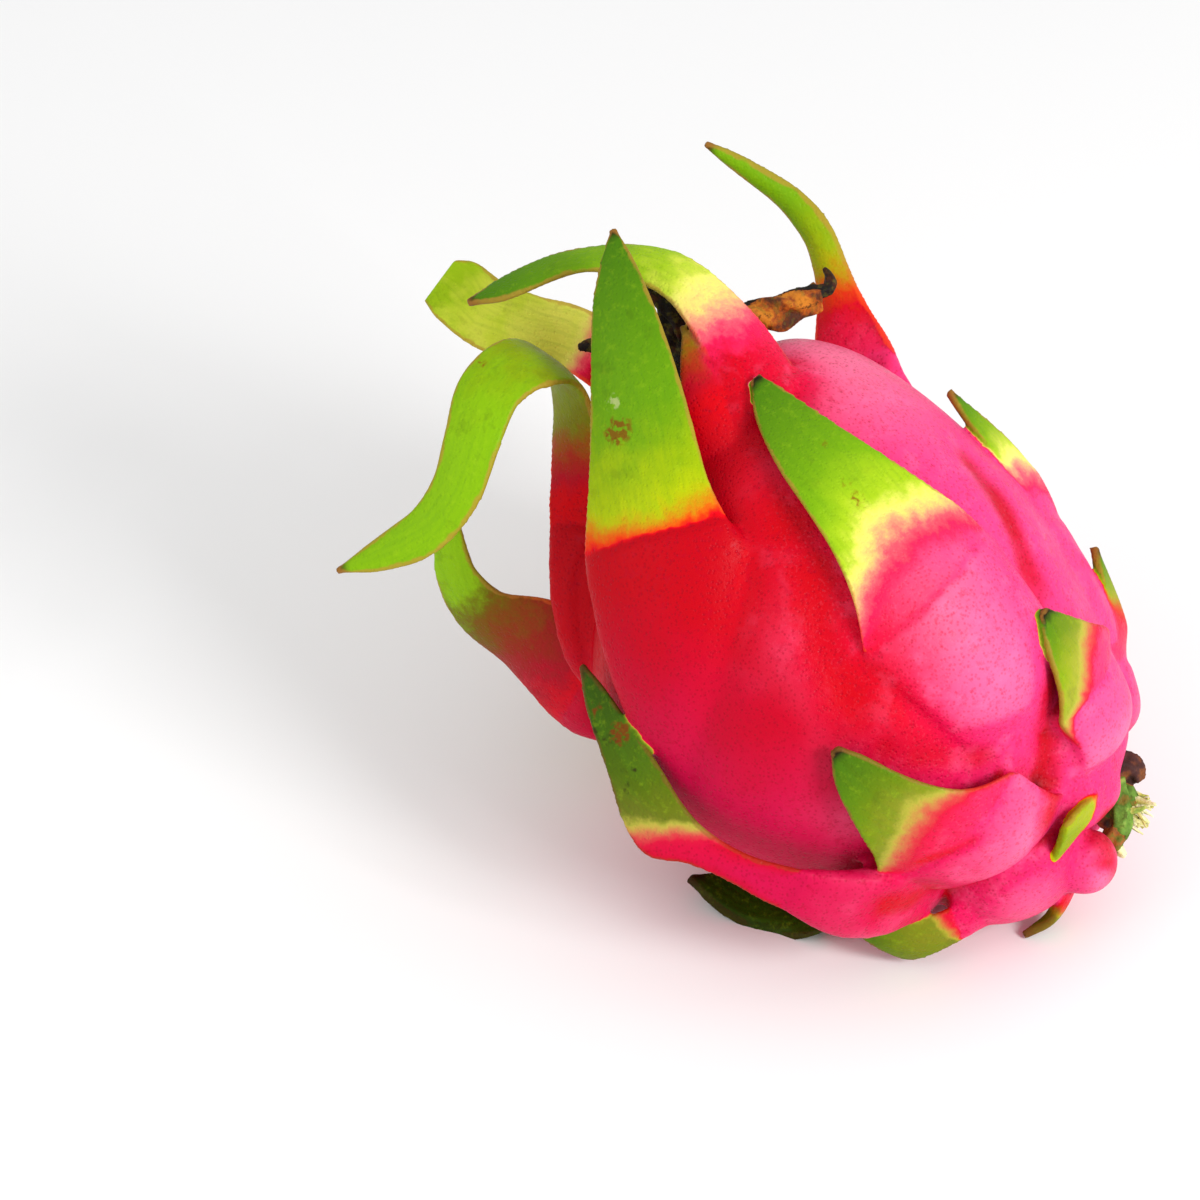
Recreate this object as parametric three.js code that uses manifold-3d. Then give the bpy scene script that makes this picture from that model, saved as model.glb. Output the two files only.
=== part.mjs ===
// A whole dragon fruit, as picked, lying on a table.
//
// Everything is laid out in the growth frame, in millimetres: +Z runs from the stem end to the
// crown, and a turn of 0 degrees faces +X, 90 degrees +Y. The fruit is then laid on the ground.
import * as THREE from "three";
import { mergeVertices } from "three/addons/utils/BufferGeometryUtils.js";
import Module from "manifold-3d";

const wasm = await Module();
wasm.setup();

const DEG = Math.PI / 180;

// ---------------------------------------------------------------- driving dimensions

// The plump body: an oval of revolution, blunt at the crown and leaner towards the stem.
const BODY_RADIUS = 43;
const CROWN_HALF = 50; // from the widest place to the crown
const STEM_HALF = 57; // from the widest place to the stem end
const CROWN_BLUNTNESS = 2.1; // 2 would be an ellipse
const STEM_BLUNTNESS = 1.65;
const NAVEL = { depth: 9, radius: 12 }; // the hollow in the middle of the crown

// The body is bowed: its belly hangs out to -Y, and both ends are drawn towards +Y.
const BOW = { belly: -8, crown: 13, stem: 8 };

// The stalk stands in a dimple a little off the axis, tilted to +Y, among rounded lobes. The first
// lobe is the swelling of the belly towards the stem.
const STALK = { x: 0, y: 7.5, base: -50.5, dimple: 6, radius: 9, tilt: 21 };
const LOBES = [
  { at: [2, -10, -41.5], size: 17 },
  { at: [5, -3.3, -57], size: 5.4 },
  { at: [9, 6.6, -48.6], size: 4.4 },
  { at: [-8, 3, -51], size: 5 },
];

// How it lies: the crown's height angle over the ground, and how far it is rolled about its axis.
const LEAN = 34;
const ROLL = -42;
const MIDDLE = { x: 18.2, y: 1.2, z: 47.5 }; // where the body's middle comes to lie over the ground

const ROOT_SINK = 4; // how deep the grown-in part of a bract starts
const ROOT_THICKNESS = 9;
const FOOT_THICKNESS = 3.4; // of the free blade, where it leaves the body
const TIP_THICKNESS = 1.6;
const EDGE = 1.0; // thickness of a bract along its margin
const STRAND_STEP = 4; // between the cross-sections of a strand
const GAP = 0.3; // between the pieces

// Bracts of the body. turn is in degrees and foot is the height Z at which the free blade begins;
// root is the length that has grown into the body below it. knee, mid and tip are how far the bract
// stands out from the body at its foot, halfway and at its end; swing is how many degrees its tip is
// turned aside. width is across the foot, and neck the share of it that the blade keeps. outline
// takes their place on the larger ones: [how far past the foot, as a share of the blade, and half
// the width there, left and right]; it counts back to -1 where the root starts. narrow is the share
// of its width that a root loses. twist is [from, to, degrees], past the foot too, and turns the
// blade about itself. bow and cup are the radii it is bent across, at its foot and further up.
const BODY_BRACTS = [
  {
    turn: 23.5, foot: -4, root: 40, length: 47.5, width: 34, knee: 4, mid: 4, tip: 5, swing: 0.5,
    outline: [[0, 18.5, 18.5], [0.08, 15.8, 17], [0.16, 13.3, 15.5], [0.25, 11.3, 13.4],
      [0.35, 9.8, 11.4], [0.45, 9, 9.4], [0.55, 8.4, 7.7], [0.65, 7.8, 6.2], [0.75, 6.7, 4.9],
      [0.85, 5.3, 3.6], [0.92, 4, 2.6], [1, 0.9, 0.7]],
  },
  {
    turn: -52, foot: -20, root: 30, length: 48, width: 42, knee: 8, mid: 7, tip: 6, swing: -10.5,
    bow: 60, cup: 60, twist: [-0.3, 0.1, 30], narrow: 0,
    outline: [[-1, 12, 9], [-0.3, 9, 6], [0, 5.4, 4], [0.16, 3.6, 2.6], [0.25, 3.4, 2.6], [0.34, 4.4, 3],
      [0.43, 8, 4.2], [0.5, 7, 5.4], [0.57, 5.4, 6.2], [0.65, 3.4, 6.2], [0.75, 2.4, 5.3],
      [0.85, 2.2, 3.9], [0.92, 1.8, 2.6], [1, 0.3, 0.4]],
  },
  {
    turn: -23, foot: -34, root: 24, length: 27, width: 38, knee: 5, mid: 5, tip: 4, swing: 6,
    outline: [[0, 17.2, 16.5], [0.08, 15.4, 15.5], [0.16, 12.9, 12.8], [0.25, 10.9, 9.9], [0.35, 9.7, 8],
      [0.45, 8.6, 6.7], [0.55, 7.6, 5.7], [0.65, 6.5, 4.7], [0.75, 5.5, 3.8], [0.85, 4.2, 3],
      [0.92, 3, 2], [1, 0.6, 0.4]],
  },
  {
    turn: 42, foot: -34, root: 22, length: 18.5, width: 26, knee: 2.8, mid: 3.4, tip: 4, swing: -3,
    outline: [[0, 10.4, 15], [0.25, 8.9, 12.6], [0.35, 8.1, 10.4], [0.45, 7.4, 8.6], [0.55, 6.8, 7],
      [0.65, 6, 5.6], [0.75, 5, 4.2], [0.85, 3.8, 3], [0.92, 2.6, 2], [1, 0.6, 0.6]],
  },
  {
    turn: 80, foot: -12, root: 40, length: 29, width: 22, knee: 2, mid: 3.4, tip: 4, swing: 2,
    twist: [-0.3, 0.3, -30],
    outline: [[0, 6, 8], [0.2, 4.6, 6], [0.4, 3.4, 4.6], [0.6, 2.8, 3.6], [0.8, 1.8, 2.4], [1, 0.4, 0.4]],
  },
  {
    turn: 100, foot: -36, root: 22, length: 19.5, width: 20, neck: 0.5, knee: 1, mid: 2.6, tip: 4.6,
    swing: 2, twist: [-0.3, 0.3, -25],
  },
  { turn: -101, foot: -30, root: 24, length: 22, width: 40, neck: 0.5, knee: 10, mid: 10, tip: 7, swing: 0 },
  // round the back and the underside
  { turn: -136, foot: 4, root: 36, length: 32, width: 34, neck: 0.5, knee: 4, mid: 4, tip: 4, swing: 0 },
  { turn: -166, foot: -12, root: 34, length: 34, width: 36, neck: 0.5, knee: 6, mid: 7, tip: 7, swing: 0 },
  { turn: -146, foot: -38, root: 20, length: 22, width: 30, neck: 0.5, knee: 5, mid: 5, tip: 5, swing: 0 },
  { turn: 142, foot: 2, root: 40, length: 38, width: 34, neck: 0.55, knee: 4, mid: 5, tip: 6, swing: 0 },
  { turn: 160, foot: -32, root: 24, length: 26, width: 32, neck: 0.5, knee: 4, mid: 5, tip: 6, swing: 0 },
];

// Long bracts: the line of each along its outer face, from inside the body to its tip. foot is
// the share of that line at which the blade comes free, and facing is where the outer face looks at
// the start (straight out from the axis, if not given). taper is how late a blade narrows.
const LONG_BRACTS = [
  {
    // leans in over the crown, towards the front
    width: 40, foot: 0.45, cup: 22, narrow: 0, facing: [1, -0.4, 0],
    outline: [[-1, 15, 18], [-0.6, 17.5, 20], [-0.3, 17.6, 17], [0, 16.4, 12.4], [0.08, 14.9, 11],
      [0.16, 13.1, 10.1], [0.25, 11.5, 9.7], [0.35, 10, 9.2], [0.45, 8.9, 8.5], [0.55, 7.9, 7.6],
      [0.65, 7, 6.5], [0.75, 6, 5.2], [0.85, 4.3, 3.7], [0.92, 2.6, 2.4], [1, 0.3, 0.3]],
    spine: [[30, -36, -4], [37, -29, 14], [38, -19, 32], [34, -7.6, 48.7], [28, 5.3, 65.7], [22, 15, 78]],
  },
  {
    // rises from the left, arches over and hangs down
    width: 28, foot: 0.34, cup: 20, narrow: 0, facing: [1, -0.7, 0], twist: [0.05, 0.4, -62], step: 4,
    outline: [[0, 4.8, 6], [0.1, 5.4, 5], [0.2, 7.2, 5.4], [0.3, 7.4, 7], [0.4, 6.4, 7.4],
      [0.5, 5.8, 6.4], [0.6, 5.2, 5.2], [0.72, 4.7, 4.7], [0.85, 4, 4], [0.93, 2.5, 2.5], [1, 0.3, 0.3]],
    spine: [[2, -36, 8], [4, -40, 27], [6, -35.5, 36.4], [7, -29.7, 43], [7, -24.2, 48.3],
      [7, -16.7, 55.8], [8, -11.6, 62.2], [11, -9.8, 67.9], [16, -13, 72.4], [19, -19.4, 72.9],
      [21, -27.1, 69], [21, -35, 64.9], [19, -43.4, 63.8], [17, -51.5, 66.2], [15, -59.4, 69.8]],
  },
  {
    // stands out low on the left, its end curled up
    width: 30, foot: 0.33, cup: 20, facing: [0.8, -1, 0],
    outline: [[0, 9, 17], [0.08, 7.6, 17], [0.16, 8.4, 16], [0.25, 10.6, 14], [0.35, 11.4, 10.6],
      [0.45, 10, 7], [0.55, 8, 6.2], [0.65, 6, 5.4], [0.75, 4, 4.5], [0.85, 3.4, 3.7], [1, 2, 2]],
    spine: [[-6, -36, 6], [-10, -47.4, 24.6], [-10, -46.3, 39.3], [-10, -47.8, 48.3], [-9, -46.7, 55.2],
      [-7, -43.7, 60.1], [-5, -38.6, 65.7]],
  },
  {
    // arches right over the crown
    width: 24, foot: 0.3, cup: 16, narrow: 0,
    outline: [[-1, 12, 9], [-0.4, 10, 10], [0, 7, 10.5], [0.16, 5.6, 8.6], [0.25, 4.9, 7.8],
      [0.35, 4.2, 7], [0.45, 4.3, 6.7], [0.55, 3.7, 5.6], [0.65, 2.3, 4.2], [0.75, 3.4, 3.6],
      [0.85, 3.8, 3.1], [0.92, 3.4, 2.3], [1, 0.3, 0.3]],
    spine: [[24, 12, 14], [28, 12.5, 36.5], [23, 16.6, 53.1], [17, 16.3, 67.6], [12, 6.6, 79.7],
      [10, -10.9, 87.6]],
  },
  {
    // stands up at the right and behind
    width: 26, foot: 0.3, cup: 26, facing: [-1, 0.4, 0],
    outline: [[0, 9, 9], [0.08, 7.6, 7.6], [0.16, 6, 6], [0.25, 4.4, 4.4], [0.35, 3.4, 3.4],
      [0.45, 3.1, 3.1], [0.55, 3, 3], [0.65, 2.6, 2.6], [0.75, 2.2, 2.2], [0.85, 1.8, 1.8],
      [0.92, 1.4, 1.4], [1, 0.4, 0.4]],
    spine: [[-8, 28, 10], [-12, 29.3, 26.7], [-13, 32.9, 35], [-14, 37.1, 42.2], [-14, 40.1, 47.5],
      [-14, 42.8, 53.6], [-14, 43.5, 61.4], [-13, 42, 69.6], [-12, 39.7, 79]],
  },
  {
    // leans out to the left from behind, its end cut square
    width: 22, foot: 0.3, cup: 30,
    outline: [[0, 8, 8], [0.25, 6.6, 6], [0.45, 5.7, 6], [0.7, 5.8, 7.4], [0.9, 6.2, 6.6],
      [0.97, 6, 6.2], [1, 3, 5]],
    spine: [[-16, 2, 30], [-20, 2, 48], [-22, -0.9, 71.1], [-20, -5.2, 78.3], [-19, -8.7, 85.7],
      [-18, -10.3, 95.5]],
  },
  {
    // short, between the front one and the arching one
    width: 20, neck: 0.55, taper: 1.6, foot: 0.4, cup: 12,
    spine: [[24, 1, 22], [30, 4, 38], [27, 8, 50], [21, 12, 58]],
  },
  {
    // curls down behind, on the left
    width: 28, neck: 0.5, taper: 2, foot: 0.3, cup: 12,
    spine: [[-22, -16, 8], [-31, -17, 26], [-41, -20, 37], [-53, -22, 38], [-64, -22, 30]],
  },
  {
    // curls down behind, on the right
    width: 28, neck: 0.5, taper: 2, foot: 0.3, cup: 12,
    spine: [[-22, 10, 14], [-29, 12, 31], [-38, 14, 42], [-50, 16, 44], [-62, 18, 38]],
  },
  {
    // small, hugging the belly at the stem end
    width: 24, neck: 0.55, taper: 1.4, foot: 0.45, cup: 12, facing: [1, -0.5, -1],
    outline: [[0, 3.4, 7], [0.15, 5.4, 6.4], [0.3, 7.4, 5.4], [0.45, 6.4, 4.4], [0.7, 4, 2.8],
      [0.85, 2.6, 1.8], [1, 0.4, 0.4]],
    spine: [[5, -10, -52], [6, -20, -53.5], [7, -28, -50], [6, -34, -43], [5, -38, -35.5]],
  },
  {
    // very small, over the stalk
    width: 13, foot: 0.5, cup: 18, facing: [1, 0, -0.3],
    outline: [[0, 6.6, 6.6], [0.5, 5.4, 3.8], [0.85, 3.4, 1.6], [1, 1.4, 0.4]],
    spine: [[7, 4.4, -53.4], [13, 2, -53.6], [16, 0.1, -52.2], [20, -1.4, -48.4]],
  },
  {
    // small, sticking out sideways at the stem end
    width: 14, neck: 0.6, taper: 1.6, foot: 0.4, cup: 12, facing: [0, -0.2, -1],
    spine: [[-1, 0, -55], [-2, -7, -60], [-3, -14, -62], [-4, -20, -60.5]],
  },
];

// The withered flower: dry strands that rise from the navel.
const STRANDS = [
  { start: 4.6, end: 3, line: [[0, 5, 43.1], [0, 5.4, 46], [3, 9, 53], [7, 13, 60]] },
  { start: 3, end: 1.8, line: [[1, 8, 47], [5, 15, 50.5], [5, 24, 50.5], [2, 30, 47.5], [-1, 36, 46.5]] },
  { start: 2.4, end: 1, line: [[0, 6, 47], [0, 5, 58], [2, 2, 66], [4, 1, 70]] },
  { start: 2.2, end: 1, line: [[0, 6, 46], [-4, 9, 52], [-8, 12, 56]] },
];

// ---------------------------------------------------------------- solids

const TO_GROUND = new THREE.Matrix4()
  .makeTranslation(MIDDLE.x, MIDDLE.y, MIDDLE.z)
  .multiply(new THREE.Matrix4().makeRotationY((LEAN - 90) * DEG))
  .multiply(new THREE.Matrix4().makeRotationZ(ROLL * DEG));

function solid(geometry) {
  const bare = geometry.clone();
  bare.deleteAttribute("normal");
  bare.deleteAttribute("uv");
  const merged = mergeVertices(bare, 1e-4);
  return new wasm.Manifold(
    new wasm.Mesh({
      numProp: 3,
      vertProperties: merged.attributes.position.array,
      triVerts: new Uint32Array(merged.index.array),
    }),
  );
}

// A solid of the growth frame, laid on the ground.
const laid = (geometry) => solid(geometry.applyMatrix4(TO_GROUND));

function meshOf(name, manifold, material) {
  const { vertProperties, triVerts } = manifold.getMesh();
  const geometry = new THREE.BufferGeometry();
  geometry.setAttribute("position", new THREE.BufferAttribute(vertProperties, 3));
  geometry.setIndex(new THREE.BufferAttribute(triVerts, 1));
  geometry.computeVertexNormals();
  const mesh = new THREE.Mesh(geometry, new THREE.MeshStandardMaterial({ metalness: 0, ...material }));
  mesh.name = name;
  return mesh;
}

// Moves every vertex of a geometry by a function of its place.
function reshape(geometry, move) {
  const position = geometry.attributes.position;
  const point = new THREE.Vector3();
  for (let i = 0; i < position.count; i++) {
    point.fromBufferAttribute(position, i);
    position.setXYZ(i, ...move(point));
  }
  return geometry;
}

// The frames along a spine, a step apart: place, outward and sideways. twist(share) turns them.
function framesAlong(points, step, facing, twist = () => 0) {
  const spine = new THREE.CatmullRomCurve3(points.map((p) => new THREE.Vector3(...p)), false, "centripetal");
  const steps = Math.round(spine.getLength() / step);
  const normal = new THREE.Vector3(...facing);
  const frames = [];
  for (let i = 0; i <= steps; i++) {
    const tangent = spine.getTangentAt(i / steps);
    normal.addScaledVector(tangent, -normal.dot(tangent)).normalize();
    const out = normal.clone().applyAxisAngle(tangent, twist(i / steps));
    frames.push({ at: spine.getPointAt(i / steps), out, side: tangent.clone().cross(out) });
  }
  return frames;
}

// ---------------------------------------------------------------- body

// The outline of the body in the half-plane (distance from the axis, height), from stem to crown.
class Meridian extends THREE.Curve {
  getPoint(t, target = new THREE.Vector2()) {
    const latitude = (t - 0.5) * Math.PI;
    const [half, blunt] = latitude < 0 ? [-STEM_HALF, STEM_BLUNTNESS] : [CROWN_HALF, CROWN_BLUNTNESS];
    const r = BODY_RADIUS * Math.abs(Math.cos(latitude)) ** (2 / blunt);
    return target.set(r, half * Math.abs(Math.sin(latitude)) ** (2 / blunt));
  }
}
const meridian = new Meridian();
const MERIDIAN_LENGTH = meridian.getLength();

// The bow of the fruit, and the hollows of its navel and stalk.
function bowed({ x, y, z }) {
  const reach = Math.min(Math.abs(z) / CROWN_HALF, 1.2);
  const drawn = y + BOW.belly + (z < 0 ? BOW.stem : BOW.crown) * reach ** 2;
  const navel = NAVEL.depth * Math.exp(-(x * x + y * y) / NAVEL.radius ** 2);
  const dimple = STALK.dimple * Math.exp(-((x - STALK.x) ** 2 + (drawn - STALK.y) ** 2) / STALK.radius ** 2);
  return [x, drawn, z > 0 ? z - navel : z + dimple];
}

// How far along the meridian the body has a given height.
function alongAt(height) {
  let low = 0;
  let high = 1;
  for (let i = 0; i < 30; i++) {
    const middle = (low + high) / 2;
    if (meridian.getPointAt(middle).y < height) low = middle;
    else high = middle;
  }
  return low * MERIDIAN_LENGTH;
}

// A point over the body: along the meridian, out from the surface, at a turn. Past the crown's
// shoulder it goes straight on.
function overBody(along, out, turn) {
  const on = Math.min(along / MERIDIAN_LENGTH, 0.86);
  const place = meridian.getPointAt(on);
  const tangent = meridian.getTangentAt(on);
  const past = along - on * MERIDIAN_LENGTH;
  const r = place.x + tangent.x * past + tangent.y * out;
  const z = place.y + tangent.y * past - tangent.x * out;
  return new THREE.Vector3(r * Math.cos(turn * DEG), r * Math.sin(turn * DEG), z);
}

function bodyGeometry() {
  const rows = 28;
  const profile = [];
  for (let i = 0; i <= rows; i++) profile.push(meridian.getPointAt(i / rows));
  profile[0].x = 0;
  profile[rows].x = 0;
  return reshape(new THREE.LatheGeometry(profile, 42).rotateX(90 * DEG), bowed);
}

function lobeGeometry({ at, size }) {
  return new THREE.SphereGeometry(size, 18, 12).translate(...at);
}

// ---------------------------------------------------------------- bracts

// Half the width of a bract on one side (1 left, 2 right), at a share of its length past the foot.
function halfWidth({ width, neck, taper = 1.4, outline }, past, side) {
  if (!outline) {
    const along = Math.max(past, 0);
    const flare = (1 - neck) * (1 - along) ** 3;
    const blade = neck * (1 - along ** taper);
    return Math.max((width / 2) * (flare + blade), 0.7);
  }
  const next = outline.findIndex(([at]) => at >= past);
  if (next < 1) return outline[0][side];
  const [before, after] = [outline[next - 1], outline[next]];
  const share = (past - before[0]) / (after[0] - before[0]);
  return Math.max(THREE.MathUtils.lerp(before[side], after[side], share), 0.7);
}

// A bract is a box bent along its spine: x runs across it, y along it and z through it. Across,
// it is an arc whose radius goes from that of its foot, which meets the body, to that of its cup.
function bractGeometry(bract) {
  const { foot, width, spine, knee = 4, cup = 24, step = 5, twist = [0, 1, 0], narrow = 0.35 } = bract;
  const { facing = [spine[1][0], spine[1][1], 0] } = bract;
  const { bow = 1 / (1 / BODY_RADIUS + (1.5 * knee) / (width / 2) ** 2) } = bract;
  const pastFoot = (share) => Math.max((share - foot) / (1 - foot), 0);
  const [from, to, degrees] = twist;
  const turned = (past) => degrees * DEG * THREE.MathUtils.clamp((past - from) / (to - from), 0, 1);
  const frames = framesAlong(spine, step, facing, (share) => turned(pastFoot(share)));
  const along = frames.length - 1;
  const box = new THREE.BoxGeometry(2, along, 1, 4, along, 1).translate(0, along / 2, 0);
  return reshape(box, ({ x, y, z }) => {
    const { at, out, side } = frames[Math.round(y)];
    const past = pastFoot(y / along);
    const root = Math.max(1 - y / along / foot, 0);
    const half = halfWidth(bract, past - root, x < 0 ? 1 : 2) * (1 - narrow * root);
    const radius = THREE.MathUtils.lerp(bow, cup, Math.min(past * 2, 1));
    const angle = (x * half) / radius;
    const middle = THREE.MathUtils.lerp(FOOT_THICKNESS, TIP_THICKNESS, past);
    const blade = THREE.MathUtils.lerp(middle, EDGE, x * x);
    const thickness = z > 0 ? 0 : THREE.MathUtils.lerp(blade, ROOT_THICKNESS, root);
    const reach = radius - thickness;
    return at
      .clone()
      .addScaledVector(side, reach * Math.sin(angle))
      .addScaledVector(out, reach * Math.cos(angle) - radius)
      .toArray();
  });
}

// A bract of the body gets its spine from how far it stands out along the meridian.
function bodyBractGeometry(bract) {
  const { turn, root, length, knee, mid, tip, swing } = bract;
  const foot = alongAt(bract.foot);
  const place = (a, out) => overBody(foot + a, out, turn + swing * Math.max(a / length, 0)).toArray();
  const spine = [
    place(-root, -ROOT_SINK),
    place(-root / 2, knee * 0.8),
    place(0, knee),
    place(length / 2, mid),
    place(length, tip),
  ];
  return reshape(bractGeometry({ ...bract, spine, foot: root / (root + length) }), bowed);
}

let flesh = laid(bodyGeometry());
for (const lobe of LOBES) flesh = flesh.add(laid(lobeGeometry(lobe)));
for (const bract of BODY_BRACTS) flesh = flesh.add(laid(bodyBractGeometry(bract)));
for (const bract of LONG_BRACTS) flesh = flesh.add(laid(bractGeometry(bract)));

// Where it lies on the ground it is pressed flat.
const ground = solid(new THREE.BoxGeometry(300, 300, 40).translate(0, 0, -20));
flesh = flesh.subtract(ground);

// ---------------------------------------------------------------- dried flower and stalk

// A strand is a cylinder bent along its line, thinning from its start to its end.
function strandGeometry({ start, end, line }, around) {
  const frames = framesAlong(line, STRAND_STEP, [1, 0, 0]);
  const along = frames.length - 1;
  const rod = new THREE.CylinderGeometry(1, 1, along, around, along).translate(0, along / 2, 0);
  return reshape(rod, ({ x, y, z }) => {
    const { at, out, side } = frames[Math.round(y)];
    const radius = THREE.MathUtils.lerp(start, end, y / along);
    return at.clone().addScaledVector(side, x * radius).addScaledVector(out, z * radius).toArray();
  });
}

let flower = laid(strandGeometry(STRANDS[0], 12));
for (const strand of STRANDS.slice(1)) flower = flower.add(laid(strandGeometry(strand, 8)));

// The stalk is a short dry stump that widens to its torn end.
const STUMP = [
  [0, -0.5],
  [3.4, 0],
  [3, 2.4],
  [4.2, 5],
  [4.6, 8],
  [2.6, 10],
  [0, 9],
];
const stump = new THREE.LatheGeometry(STUMP.map(([r, z]) => new THREE.Vector2(r, z)), 14)
  .rotateX((STALK.tilt - 90) * DEG)
  .translate(STALK.x, STALK.y, STALK.base - GAP);

// ---------------------------------------------------------------- the whole

const whole = new THREE.Group();
whole.add(meshOf("fruit", flesh, { color: 0xd81b5c, roughness: 0.45 }));
whole.add(meshOf("dried_flower", flower, { color: 0x5a3a1c, roughness: 0.9 }));
whole.add(meshOf("stem_stub", laid(stump), { color: 0x8a7a4a, roughness: 0.9 }));

export default whole;
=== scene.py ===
# A whole dragon fruit, as picked, lying on a table: the fruit with its bracts, the withered flower
# in the hollow of its crown, and the dry stump of its stalk.
import math

import bmesh
import bpy
import numpy as np
from mathutils import Matrix, Vector
from mathutils.bvhtree import BVHTree


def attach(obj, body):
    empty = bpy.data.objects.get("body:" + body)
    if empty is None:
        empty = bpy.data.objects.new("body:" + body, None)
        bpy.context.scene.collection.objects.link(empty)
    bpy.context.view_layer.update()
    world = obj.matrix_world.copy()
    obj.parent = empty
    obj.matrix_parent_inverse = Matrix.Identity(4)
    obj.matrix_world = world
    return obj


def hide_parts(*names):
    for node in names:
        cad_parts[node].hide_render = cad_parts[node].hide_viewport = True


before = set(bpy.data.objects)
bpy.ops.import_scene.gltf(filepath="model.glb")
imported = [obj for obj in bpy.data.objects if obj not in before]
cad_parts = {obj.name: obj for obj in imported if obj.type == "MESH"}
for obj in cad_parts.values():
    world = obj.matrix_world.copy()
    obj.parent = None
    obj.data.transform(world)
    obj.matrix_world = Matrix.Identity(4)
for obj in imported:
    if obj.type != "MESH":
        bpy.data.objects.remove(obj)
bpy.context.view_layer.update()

# ---------------------------------------------------------------- the body of the fruit
# The plump body is an oval of soft flesh under a leathery skin, hollow at the crown and dimpled
# round the stalk. It is laid out in millimetres in the growth frame: +Z runs from the stem end to
# the crown, and a turn of 0 degrees faces +X. It is then laid down on the table.

BODY_RADIUS = 43
CROWN_HALF = 50
STEM_HALF = 57
CROWN_BLUNTNESS = 2.1
STEM_BLUNTNESS = 1.65
NAVEL_DEPTH, NAVEL_RADIUS = 9, 12
BOW_BELLY, BOW_CROWN, BOW_STEM = -8, 13, 8
SHOULDER = 0.86  # the share of the outline past which what grows on it runs straight on
STALK_X, STALK_Y, STALK_BASE = 0, 7.5, -50.8
DIMPLE_DEPTH, DIMPLE_RADIUS = 6, 9
# Swellings at the stem end: where each has its middle, and its radius.
LOBES = [((2, -10, -41.5), 17), ((5, -3.3, -57), 5.4), ((9, 6.6, -48.6), 4.4), ((-8, 3, -51), 5)]

LEAN = math.radians(34)
ROLL = math.radians(-42)
MIDDLE = Vector((18.2, 1.2, 47.5))
LAID_DOWN = (
    Matrix.Scale(0.001, 4)
    @ Matrix.Translation(MIDDLE)
    @ Matrix.Rotation(LEAN - math.pi / 2, 4, "Y")
    @ Matrix.Rotation(ROLL, 4, "Z")
)


def laid_down(points):
    """Points of the growth frame, in millimetres, as they lie on the table, in metres."""
    turn = np.array(LAID_DOWN)
    return points @ turn[:3, :3].T + turn[:3, 3]


def meridian():
    """The outline of the body from stem to crown: length along it, radius and height."""
    latitude = np.linspace(-0.5, 0.5, 4001) * math.pi
    stem = latitude < 0
    power = 2 / np.where(stem, STEM_BLUNTNESS, CROWN_BLUNTNESS)
    radius = BODY_RADIUS * np.abs(np.cos(latitude)) ** power
    height = np.where(stem, -STEM_HALF, CROWN_HALF) * np.abs(np.sin(latitude)) ** power
    steps = np.hypot(np.diff(radius), np.diff(height))
    return np.concatenate([[0], np.cumsum(steps)]), radius, height


ALONG, RADIUS, HEIGHT = meridian()


def bowed(p):
    """The bow of the fruit, with the hollows of its navel and of its stalk."""
    x, y, z = p.T
    reach = np.minimum(np.abs(z) / CROWN_HALF, 1.2)
    drawn = y + BOW_BELLY + np.where(z < 0, BOW_STEM, BOW_CROWN) * reach**2
    navel = NAVEL_DEPTH * np.exp(-(x**2 + y**2) / NAVEL_RADIUS**2)
    off_stalk = (x - STALK_X) ** 2 + (drawn - STALK_Y) ** 2
    dimple = DIMPLE_DEPTH * np.exp(-off_stalk / DIMPLE_RADIUS**2)
    return np.stack([x, drawn, np.where(z > 0, z - navel, z + dimple)], axis=1)


def over_body(along, out, turn):
    """A point over the body: along its outline, out from it, at a turn in degrees."""
    on = min(along, SHOULDER * ALONG[-1])
    r, z = np.interp(on, ALONG, RADIUS), np.interp(on, ALONG, HEIGHT)
    dr = np.interp(on + 0.1, ALONG, RADIUS) - np.interp(on - 0.1, ALONG, RADIUS)
    dz = np.interp(on + 0.1, ALONG, HEIGHT) - np.interp(on - 0.1, ALONG, HEIGHT)
    dr, dz = dr / math.hypot(dr, dz), dz / math.hypot(dr, dz)
    r += dr * (along - on) + dz * out
    z += dz * (along - on) - dr * out
    return [r * math.cos(math.radians(turn)), r * math.sin(math.radians(turn)), z]


def quads(rows, columns, first=0):
    """The faces between the rows of a grid of points."""
    i, j = np.meshgrid(np.arange(rows - 1), np.arange(columns - 1), indexing="ij")
    corner = first + i * columns + j
    return np.stack([corner, corner + 1, corner + columns + 1, corner + columns], -1).reshape(-1, 4)


def turned(radius, height, around):
    """A closed solid turned round the growth axis, from its outline."""
    angle = np.linspace(0, 2 * math.pi, around + 1)
    x = radius[:, None] * np.cos(angle)
    y = radius[:, None] * np.sin(angle)
    z = np.broadcast_to(height[:, None], x.shape)
    return np.stack([x, y, z], -1).reshape(-1, 3), quads(len(radius), around + 1)


rows = np.linspace(0, ALONG[-1], 150)
points, faces = turned(np.interp(rows, ALONG, RADIUS), np.interp(rows, ALONG, HEIGHT), 180)
flesh = [(bowed(points), faces)]
for centre, size in LOBES:
    latitude = np.linspace(-0.5, 0.5, 30) * math.pi
    points, faces = turned(size * np.cos(latitude), size * np.sin(latitude), 50)
    flesh.append((points + np.array(centre), faces))

# ---------------------------------------------------------------- the bracts
# Fleshy scales that have grown out of the skin. Each starts as a pad on the body and comes free as
# a blade, thick in the middle and thin at its margins. They turn from the skin's pink to green.

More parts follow.
